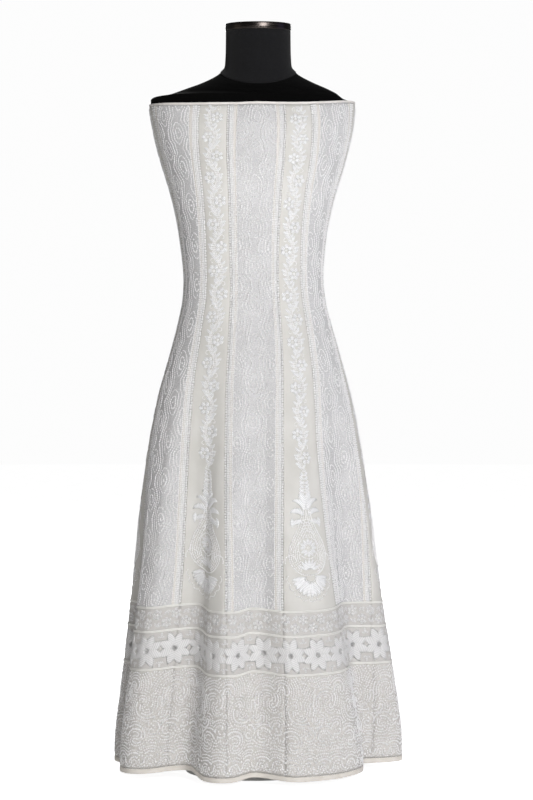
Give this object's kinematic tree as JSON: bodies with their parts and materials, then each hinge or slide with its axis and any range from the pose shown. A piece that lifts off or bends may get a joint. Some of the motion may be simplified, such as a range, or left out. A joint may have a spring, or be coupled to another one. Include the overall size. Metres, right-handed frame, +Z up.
{
  "type": "anarkali gown on dress form",
  "caption": "White embroidered strapless anarkali gown of flared gores, open at the top and hem, worn by a black limbless dress form on a round base.",
  "frame": {"origin": "centre of the base plate's underside, on the floor", "axes": "+Z up along the pole; the form faces -Y; +X is towards the form's left"},
  "size_m": [0.5275, 0.4104, 1.3553],
  "materials": {
    "close_worked_georgette": "white georgette close-covered in white thread work",
    "vine_georgette": "off-white sheer georgette over lining, vine embroidery",
    "plain_georgette": "off-white folded georgette and white cord",
    "black_jersey": "matt black stretch jersey",
    "neck_jersey": "matt charcoal stretch jersey",
    "dark_chrome": "dark polished plating",
    "black_cap": "satin black",
    "white_steel": "white powder coat",
    "black_board": "painted black"
  },
  "bodies": {
    "root": {"base_hub": "white_steel", "base_plate": "white_steel", "border_tape_1": "plain_georgette", "border_tape_2": "plain_georgette", "border_tape_3": "plain_georgette", "bottom_board": "black_board", "close_worked_kali_1": "close_worked_georgette", "close_worked_kali_2": "close_worked_georgette", "close_worked_kali_3": "close_worked_georgette", "close_worked_kali_4": "close_worked_georgette", "close_worked_kali_5": "close_worked_georgette", "close_worked_kali_6": "close_worked_georgette", "form_neck": "neck_jersey", "form_torso": "black_jersey", "hem_band": "plain_georgette", "neck_band": "dark_chrome", "neck_cap": "black_cap", "pole": "white_steel", "pole_flange": "white_steel", "pole_socket": "white_steel", "top_binding": "plain_georgette", "vine_kali_1": "vine_georgette", "vine_kali_2": "vine_georgette", "vine_kali_3": "vine_georgette", "vine_kali_4": "vine_georgette", "vine_kali_5": "vine_georgette", "vine_kali_6": "vine_georgette"}
  },
  "joints": []
}
